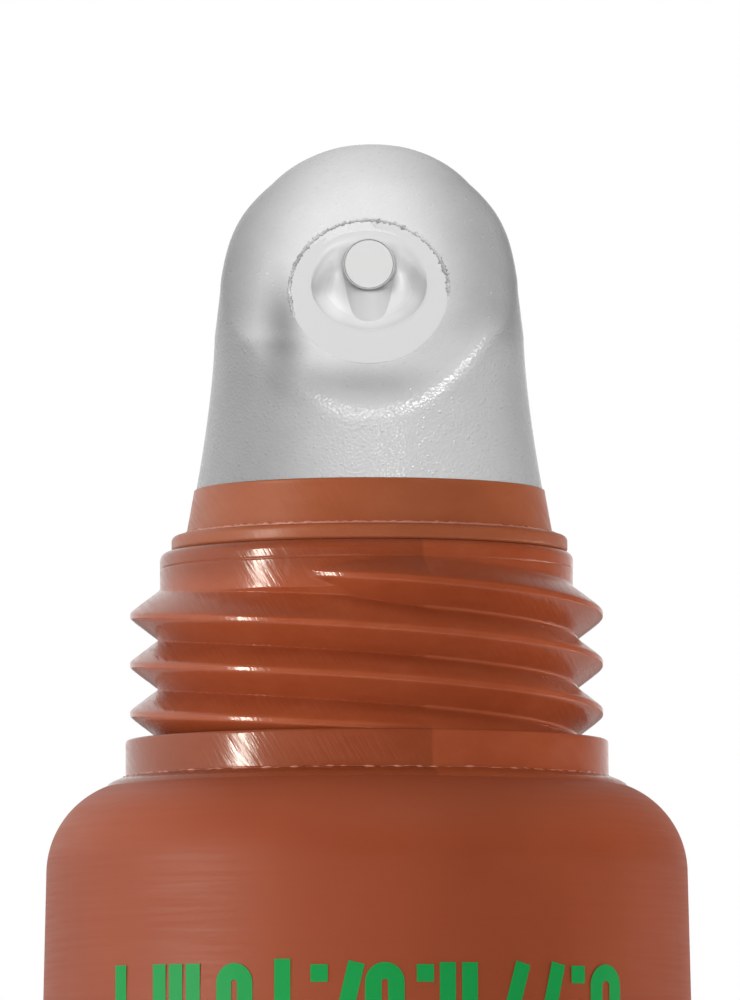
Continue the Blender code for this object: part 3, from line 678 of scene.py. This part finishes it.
turn = full_turn(TIP_COLUMNS)
mouth_z = MOUTH_Z + MOUTH_H * np.sin(turn)
first = from_heart(np.stack([MOUTH_W * np.cos(turn), face_y(mouth_z), mouth_z], -1))
last = from_heart(ring_path(TIP_FOOT_R, np.full(TIP_COLUMNS, TIP_FOOT_Z), turn))
angle = np.arccos(np.clip((first * last).sum(1), -1.0, 1.0))[None, :, None]
share = (np.arange(TIP_RINGS + 1) / TIP_RINGS)[:, None, None]
away = (np.sin((1.0 - share) * angle) * first + np.sin(share * angle) * last) / np.sin(angle)
near, far = np.zeros((TIP_RINGS + 1, TIP_COLUMNS)), np.full((TIP_RINGS + 1, TIP_COLUMNS), 12.0)
for _ in range(40):
    middle = (near + far) / 2.0
    inside = tip_field(TIP_HEART + away * middle[..., None]) < 0.0
    near, far = np.where(inside, middle, near), np.where(inside, far, middle)
skin = TIP_HEART + away * near[..., None]
skin[-1, :, 2] = TIP_FOOT_Z
socket = []
for depth in (0.02, 0.5, 1.2, 1.9):
    ring = skin[0].copy()
    ring[:, 0] = SOCKET_X + (ring[:, 0] - SOCKET_X) * SOCKET_SHARE
    ring[:, 1] += depth
    ring[:, 2] = MOUTH_Z + (ring[:, 2] - MOUTH_Z) * SOCKET_SHARE
    socket.append(ring)
socket[-1][:, 1] = SOCKET_END_Y
under = skin[-1].copy()
under[:, :2] *= TIP_INNER_R / TIP_FOOT_R
top_ring = under.copy()
top_ring[:, 2] = 8.0
top_ring[:, :2] *= 0.5
rows = np.concatenate([np.array(socket[::-1]), skin, under[None], top_ring[None]])
tip = piece("soft_tip", rows.reshape(-1, 3), capped_faces(len(rows), TIP_COLUMNS), FROSTED, 50.0, TIP_ASIDE)
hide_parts("applicator_tip")


# Nozzle insert: slanted rim round a notch with an upright back wall

INSERT_COLUMNS, INSERT_BACK_Y = 192, 1.3
BOWL_Z, BOWL_R, BOWL_LOW, BOWL_HIGH = 11.24, 1.43, 1.19, 1.60
BOWL_BACK, BOWL_LEAN, BOWL_TOP, BOWL_BLEND = -0.27, 0.28, -0.16, 0.28
BOWL_FLOOR = 0.58
turn = full_turn(INSERT_COLUMNS)


def mouth_ring(scale):
    """Ring of the insert's rim, on the slanted face."""
    x, z = MOUTH_W * scale * np.cos(turn), MOUTH_Z + MOUTH_H * scale * np.sin(turn)
    return np.stack([x, skin_y(x, z), z], -1)


def bowl_ring(scale, depth):
    """Ring of the notch: depth 0 lies on the slanted face, depth 1 on the back wall."""
    x = BOWL_R * scale * np.cos(turn)
    z = BOWL_Z + np.where(turn < math.pi, BOWL_HIGH, BOWL_LOW) * scale * np.sin(turn)
    front = skin_y(x, z)
    back = rounded_max(np.minimum(BOWL_BACK + BOWL_LEAN * (z - BOWL_Z), BOWL_TOP), front, BOWL_BLEND)
    return np.stack([x, front + (back - front) * depth, z], -1)


outer_edge = mouth_ring(1.0)
hidden = outer_edge.copy()
hidden[:, 1] = INSERT_BACK_Y
insert = [hidden, outer_edge]
first, last = mouth_ring(0.988), bowl_ring(1.015, 0.0)
insert += [first + (last - first) * s for s in np.linspace(0.0, 1.0, 9)]
soft = eased(np.sin(turn), -0.35, 0.45)
for t in np.linspace(0.0, 1.0, 20):
    bend = t * math.pi / 2.0
    steep_scale = 1.0 - (1.0 - BOWL_FLOOR) * (1.0 - math.cos(bend))
    steep_depth = 0.02 + 0.98 * math.sin(bend)
    soft_scale = 1.0 - (1.0 - BOWL_FLOOR) * t
    soft_depth = t * t * (3.0 - 2.0 * t)
    insert.append(bowl_ring(steep_scale + (soft_scale - steep_scale) * soft,
                            steep_depth + (soft_depth - steep_depth) * soft))
insert += [bowl_ring(BOWL_FLOOR * (1.0 - s), 1.0) for s in (0.25, 0.5, 0.75, 0.9)]
rows = np.array(insert)
nozzle = piece("nozzle_bowl", rows.reshape(-1, 3), capped_faces(len(rows), INSERT_COLUMNS), CLEAR,
               aside=TIP_ASIDE)
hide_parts("nozzle_insert")


# A ragged dark seam where the soft tip meets the insert, from the left over the top

SEAM_COLUMNS = 512
SEAM_MIDDLE, SEAM_HALF_TURN, SEAM_FADE = math.radians(98.0), math.pi * 0.62, 0.25

turn = full_turn(SEAM_COLUMNS)
off_middle = np.abs(np.mod(turn - SEAM_MIDDLE + math.pi, 2.0 * math.pi) - math.pi)
reach = np.clip((SEAM_HALF_TURN - off_middle) / SEAM_FADE, 0.0, 1.0)
seam_scale = 0.998 + 0.009 * ripple(turn, 21, 26, 16)
seam_z = MOUTH_Z + MOUTH_H * seam_scale * np.sin(turn)
seam_x = MOUTH_W * seam_scale * np.cos(turn)
seam_path = np.stack([seam_x, skin_y(seam_x, seam_z) + 0.05 * (1.0 - reach), seam_z], -1)
seam_width = 0.004 + reach * (0.014 + 0.036 * np.abs(ripple(turn, 22, 30, 18)))
seam = bead("mouth_seam", seam_path, seam_width, SEAM, TIP_ASIDE)


# Duct: an elbow that ends in the orifice

DUCT_FRONT, DUCT_Y, DUCT_R = -0.66, 0.09, 0.68
ELBOW_R = 0.35
ORIFICE_WALL = 0.02


def tube_along(name, path, radius, inner, mat, columns=96):
    """A short pipe through the points of a path, with an open bore and a thin wall at its mouth."""
    path = [np.array(p, float) for p in path]
    turn = full_turn(columns)
    across = np.array([1.0, 0.0, 0.0])
    sides = []
    for i in range(len(path)):
        ahead = path[min(i + 1, len(path) - 1)] - path[max(i - 1, 0)]
        up = np.cross(across, ahead / np.linalg.norm(ahead))
        sides.append(np.cos(turn)[:, None] * across + np.sin(turn)[:, None] * up)
    radii = [radius] * (len(path) - 2) + [inner + ORIFICE_WALL] * 2
    rings = [p + r * side for p, r, side in zip(path, radii, sides)]
    rings += [p + inner * side for p, side in zip(path[::-1], sides[::-1])]
    return piece(name, np.array(rings).reshape(-1, 3), grid_faces(len(rings), columns, close_rows=True), mat,
                 aside=TIP_ASIDE)


elbow = [(0.0, DUCT_Y - ELBOW_R * (1.0 - math.cos(t)), ORIFICE_Z - ELBOW_R + ELBOW_R * math.sin(t))
         for t in np.linspace(0.0, math.pi / 2.0, 14)]
duct_path = [(0.0, DUCT_Y, 9.3), (0.0, DUCT_Y, 10.4), *elbow,
             (0.0, -0.50, ORIFICE_Z), (0.0, DUCT_FRONT, ORIFICE_Z)]
duct = tube_along("nozzle_duct", duct_path, DUCT_R, ORIFICE_R, CLEAR)


# Balm: the fill that shows in the orifice, its front edge drawn in

BALM_COLUMNS = 64
BALM_R, BALM_DRAWN_IN = ORIFICE_R - 0.006, 0.985

turn = full_turn(BALM_COLUMNS)
rod = []
for y, r in ((0.3, BALM_R), (DUCT_FRONT + 0.04, BALM_R), (DUCT_FRONT + 0.01, BALM_R * BALM_DRAWN_IN)):
    rod.append(np.stack([r * np.cos(turn), np.full(BALM_COLUMNS, y), ORIFICE_Z + r * np.sin(turn)], -1))
drop = piece("balm_drop", np.array(rod).reshape(-1, 3), capped_faces(len(rod), BALM_COLUMNS), BALM,
             aside=TIP_ASIDE)
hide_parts("balm_fill")


# Printed marks: a row of plain bars, arches, dots and slanted strokes on the sleeve

MARK_TOP, MARK_LENGTH, MARK_WIDTH = -5.70, 2.1, 0.40
MARK_LIFT, DOT_SIZE = 0.012, 0.42


def stroke(path, width):
    """A ribbon laid on the sleeve along a path of (distance round, height) in millimetres."""
    line_points = np.array(path, float)
    ahead = np.gradient(line_points, axis=0)
    ahead /= np.linalg.norm(ahead, axis=1)[:, None]
    side = np.stack([-ahead[:, 1], ahead[:, 0]], -1) * width / 2.0
    r = SLEEVE_R + MARK_LIFT
    ribbon = []
    for edge in (line_points + side, line_points - side):
        turn = edge[:, 0] / r
        ribbon.append(np.stack([r * np.sin(turn), -r * np.cos(turn), edge[:, 1]], -1))
    return np.stack(ribbon, 1).reshape(-1, 3)


def slanted(at, lean, top=MARK_TOP):
    return stroke([(at - lean * s, top - MARK_LENGTH * s) for s in np.linspace(0.0, 1.0, 8)], MARK_WIDTH)


def upright_bar(at, top=MARK_TOP):
    return slanted(at, 0.0, top)


def arch(left, right):
    """Two legs joined by a half-round top."""
    middle, reach = (left + right) / 2.0, (right - left) / 2.0
    spring = MARK_TOP - MARK_WIDTH / 2.0 - reach
    legs_end = MARK_TOP - MARK_LENGTH
    path = [(left, legs_end + (spring - legs_end) * s) for s in np.linspace(0.0, 0.9, 5)]
    for t in np.linspace(0.0, math.pi, 20):
        path.append((middle - reach * math.cos(t), spring + reach * math.sin(t)))
    path += [(right, spring + (legs_end - spring) * s) for s in np.linspace(0.1, 1.0, 5)]
    return stroke(path, MARK_WIDTH)


def dot(at):
    top = MARK_TOP - 0.05
    return stroke([(at, top - DOT_SIZE * s) for s in np.linspace(0.0, 1.0, 4)], DOT_SIZE)


points, faces = [], []
for ribbon in (upright_bar(-6.7), upright_bar(-5.4), upright_bar(-4.9), upright_bar(-4.4), arch(-3.55, -3.0),
               upright_bar(-2.05, MARK_TOP + 0.09), dot(-1.15), slanted(-0.25, 0.5), arch(0.15, 0.7),
               dot(1.4), upright_bar(1.95), upright_bar(2.5), slanted(3.9, 0.6), slanted(4.9, 0.5),
               dot(5.5), arch(6.1, 6.75)):
    start = len(points)
    points += ribbon.tolist()
    for k in range(len(ribbon) // 2 - 1):
        a = start + 2 * k
        faces.append([a, a + 1, a + 3, a + 2])
marks = piece("printed_marks", points, faces, PRINT)


# Surroundings and floor

WORLD_GREY = 0.25
SWEEP_SIDE = (-0.80, 0.60, -0.80)
SWEEP_FROM, SWEEP_TO, SWEEP_DARK = -0.50, 0.42, 0.08
FLOOR_HALF, FLOOR_DROP = 3.0, 0.0002


def surroundings():
    """White to the camera, darker on one side in what is mirrored or looked through, grey elsewhere."""
    world = bpy.data.worlds.new("studio")
    bpy.context.scene.world = world
    world.use_nodes = True
    tree = world.node_tree

    def node(kind, *values, **settings):
        made = tree.nodes.new("ShaderNode" + kind)
        for key, value in settings.items():
            setattr(made, key, value)
        for i, value in enumerate(values):
            if isinstance(value, bpy.types.NodeSocket):
                tree.links.new(value, made.inputs[i])
            else:
                made.inputs[i].default_value = value
        return made

    path = node("LightPath")
    sky = node("TexCoord").outputs["Generated"]
    back = node("VectorMath", sky, SWEEP_SIDE, operation="DOT_PRODUCT").outputs["Value"]
    sweep = node("MapRange", back, SWEEP_FROM, SWEEP_TO, SWEEP_DARK, 1.0).outputs["Result"]
    through = node("Math", path.outputs["Is Glossy Ray"], path.outputs["Is Transmission Ray"],
                   operation="MAXIMUM").outputs[0]
    lit = node("Math", through, sweep, operation="MULTIPLY").outputs[0]
    other = node("Math", 1.0, through, operation="SUBTRACT").outputs[0]
    grey = node("Math", other, WORLD_GREY, operation="MULTIPLY").outputs[0]
    both = node("Math", lit, grey, operation="ADD").outputs[0]
    seen = node("Math", both, path.outputs["Is Camera Ray"], operation="MAXIMUM").outputs[0]
    tree.links.new(seen, tree.nodes["Background"].inputs["Color"])


surroundings()

floor_mesh = bpy.data.meshes.new("floor")
floor_corners = [(x * FLOOR_HALF, y * FLOOR_HALF, 0.0) for x, y in ((-1, -1), (1, -1), (1, 1), (-1, 1))]
floor_mesh.from_pydata(floor_corners, [], [(0, 1, 2, 3)])
floor = bpy.data.objects.new("floor", floor_mesh)
floor.location.z = -FLOOR_DROP
bpy.context.scene.collection.objects.link(floor)
floor_mesh.materials.append(Nodes("floor_white", Roughness=0.9, Base_Color=colour(0.9, 0.9, 0.9)).mat)


# Lamps: the first five light the brown plastic and the floor, the others the tip and what it holds

LAMP_TARGET = Vector((0.0, 0.0, 0.070))


def lamp(name, azimuth, elevation, distance, width, height, power):
    """A soft rectangle that faces the neck; azimuth 0 is the camera's side, 90 its right."""
    a, e = math.radians(azimuth), math.radians(elevation)
    away = Vector((math.sin(a) * math.cos(e), -math.cos(a) * math.cos(e), math.sin(e)))
    light = bpy.data.lights.new(name, "AREA")
    light.shape = "RECTANGLE"
    light.size, light.size_y, light.energy = width, height, power
    made = bpy.data.objects.new(name, light)
    made.location = LAMP_TARGET + away * distance
    made.rotation_mode = "QUATERNION"
    made.rotation_quaternion = away.to_track_quat("Z", "Y")
    bpy.context.scene.collection.objects.link(made)
    return made


def lit_together(name, members):
    """A collection of the objects that a group of lamps lights."""
    group = bpy.data.collections.new(name)
    for member in members:
        group.objects.link(member)
    return group


BROWN_ONLY = lit_together("lit_brown", (sleeve, neck, base, flash, foot_line, marks, floor))
TIP_ONLY = lit_together("lit_tip", (tip, nozzle, duct, drop, seam))

strip_lamp = lamp("left_strip", -61.5, 4.0, 0.5, 0.045, 0.085, 0.66)
left_lamp = lamp("left_soft", -100.0, 0.0, 0.4, 0.70, 0.13, 0.72)
front_lamp = lamp("front_soft", -10.0, -3.0, 0.45, 0.3, 0.06, 1.25)
right_lamp = lamp("right_soft", 111.0, -2.0, 0.5, 0.25, 0.10, 2.55)
top_lamp = lamp("top_soft", 5.0, 62.0, 0.45, 0.3, 0.2, 0.42)
tip_key = lamp("tip_key", -10.0, 36.0, 0.5, 0.2, 0.2, 2.15)
tip_edge = lamp("tip_edge", 38.0, 45.0, 0.4, 0.24, 0.05, 0.95)
tip_edge_left = lamp("tip_edge_left", -12.0, 46.0, 0.4, 0.12, 0.05, 0.24)
tip_spark = lamp("tip_spark", 14.0, 16.0, 0.5, 0.03, 0.03, 0.28)
for made in (left_lamp, front_lamp, right_lamp, top_lamp, tip_key):
    made.visible_glossy = False
for made in (strip_lamp, left_lamp, front_lamp, right_lamp, top_lamp):
    made.light_linking.receiver_collection = BROWN_ONLY
for made in (tip_key, tip_edge, tip_edge_left, tip_spark):
    made.light_linking.receiver_collection = TIP_ONLY


# Camera

CAMERA_X, CAMERA_Y, CAMERA_HEIGHT, AIM_HEIGHT = 0.00009, -0.230, -12.0, 5.98
CAMERA_ROLL = math.radians(0.1)

camera = bpy.data.cameras.new("camera")
camera.lens, camera.sensor_width = 334.7, 36.0
camera.clip_start, camera.clip_end = 0.01, 20.0
view = bpy.data.objects.new("camera", camera)
view.location = (CAMERA_X, CAMERA_Y, level(CAMERA_HEIGHT))
aim = Vector((CAMERA_X, 0.0, level(AIM_HEIGHT))) - Vector(view.location)
roll = Matrix.Rotation(CAMERA_ROLL, 4, aim).to_quaternion()
view.rotation_mode = "QUATERNION"
view.rotation_quaternion = roll @ aim.to_track_quat("-Z", "Y")
bpy.context.scene.collection.objects.link(view)
bpy.context.scene.camera = view
bpy.context.scene.view_settings.view_transform = "Standard"
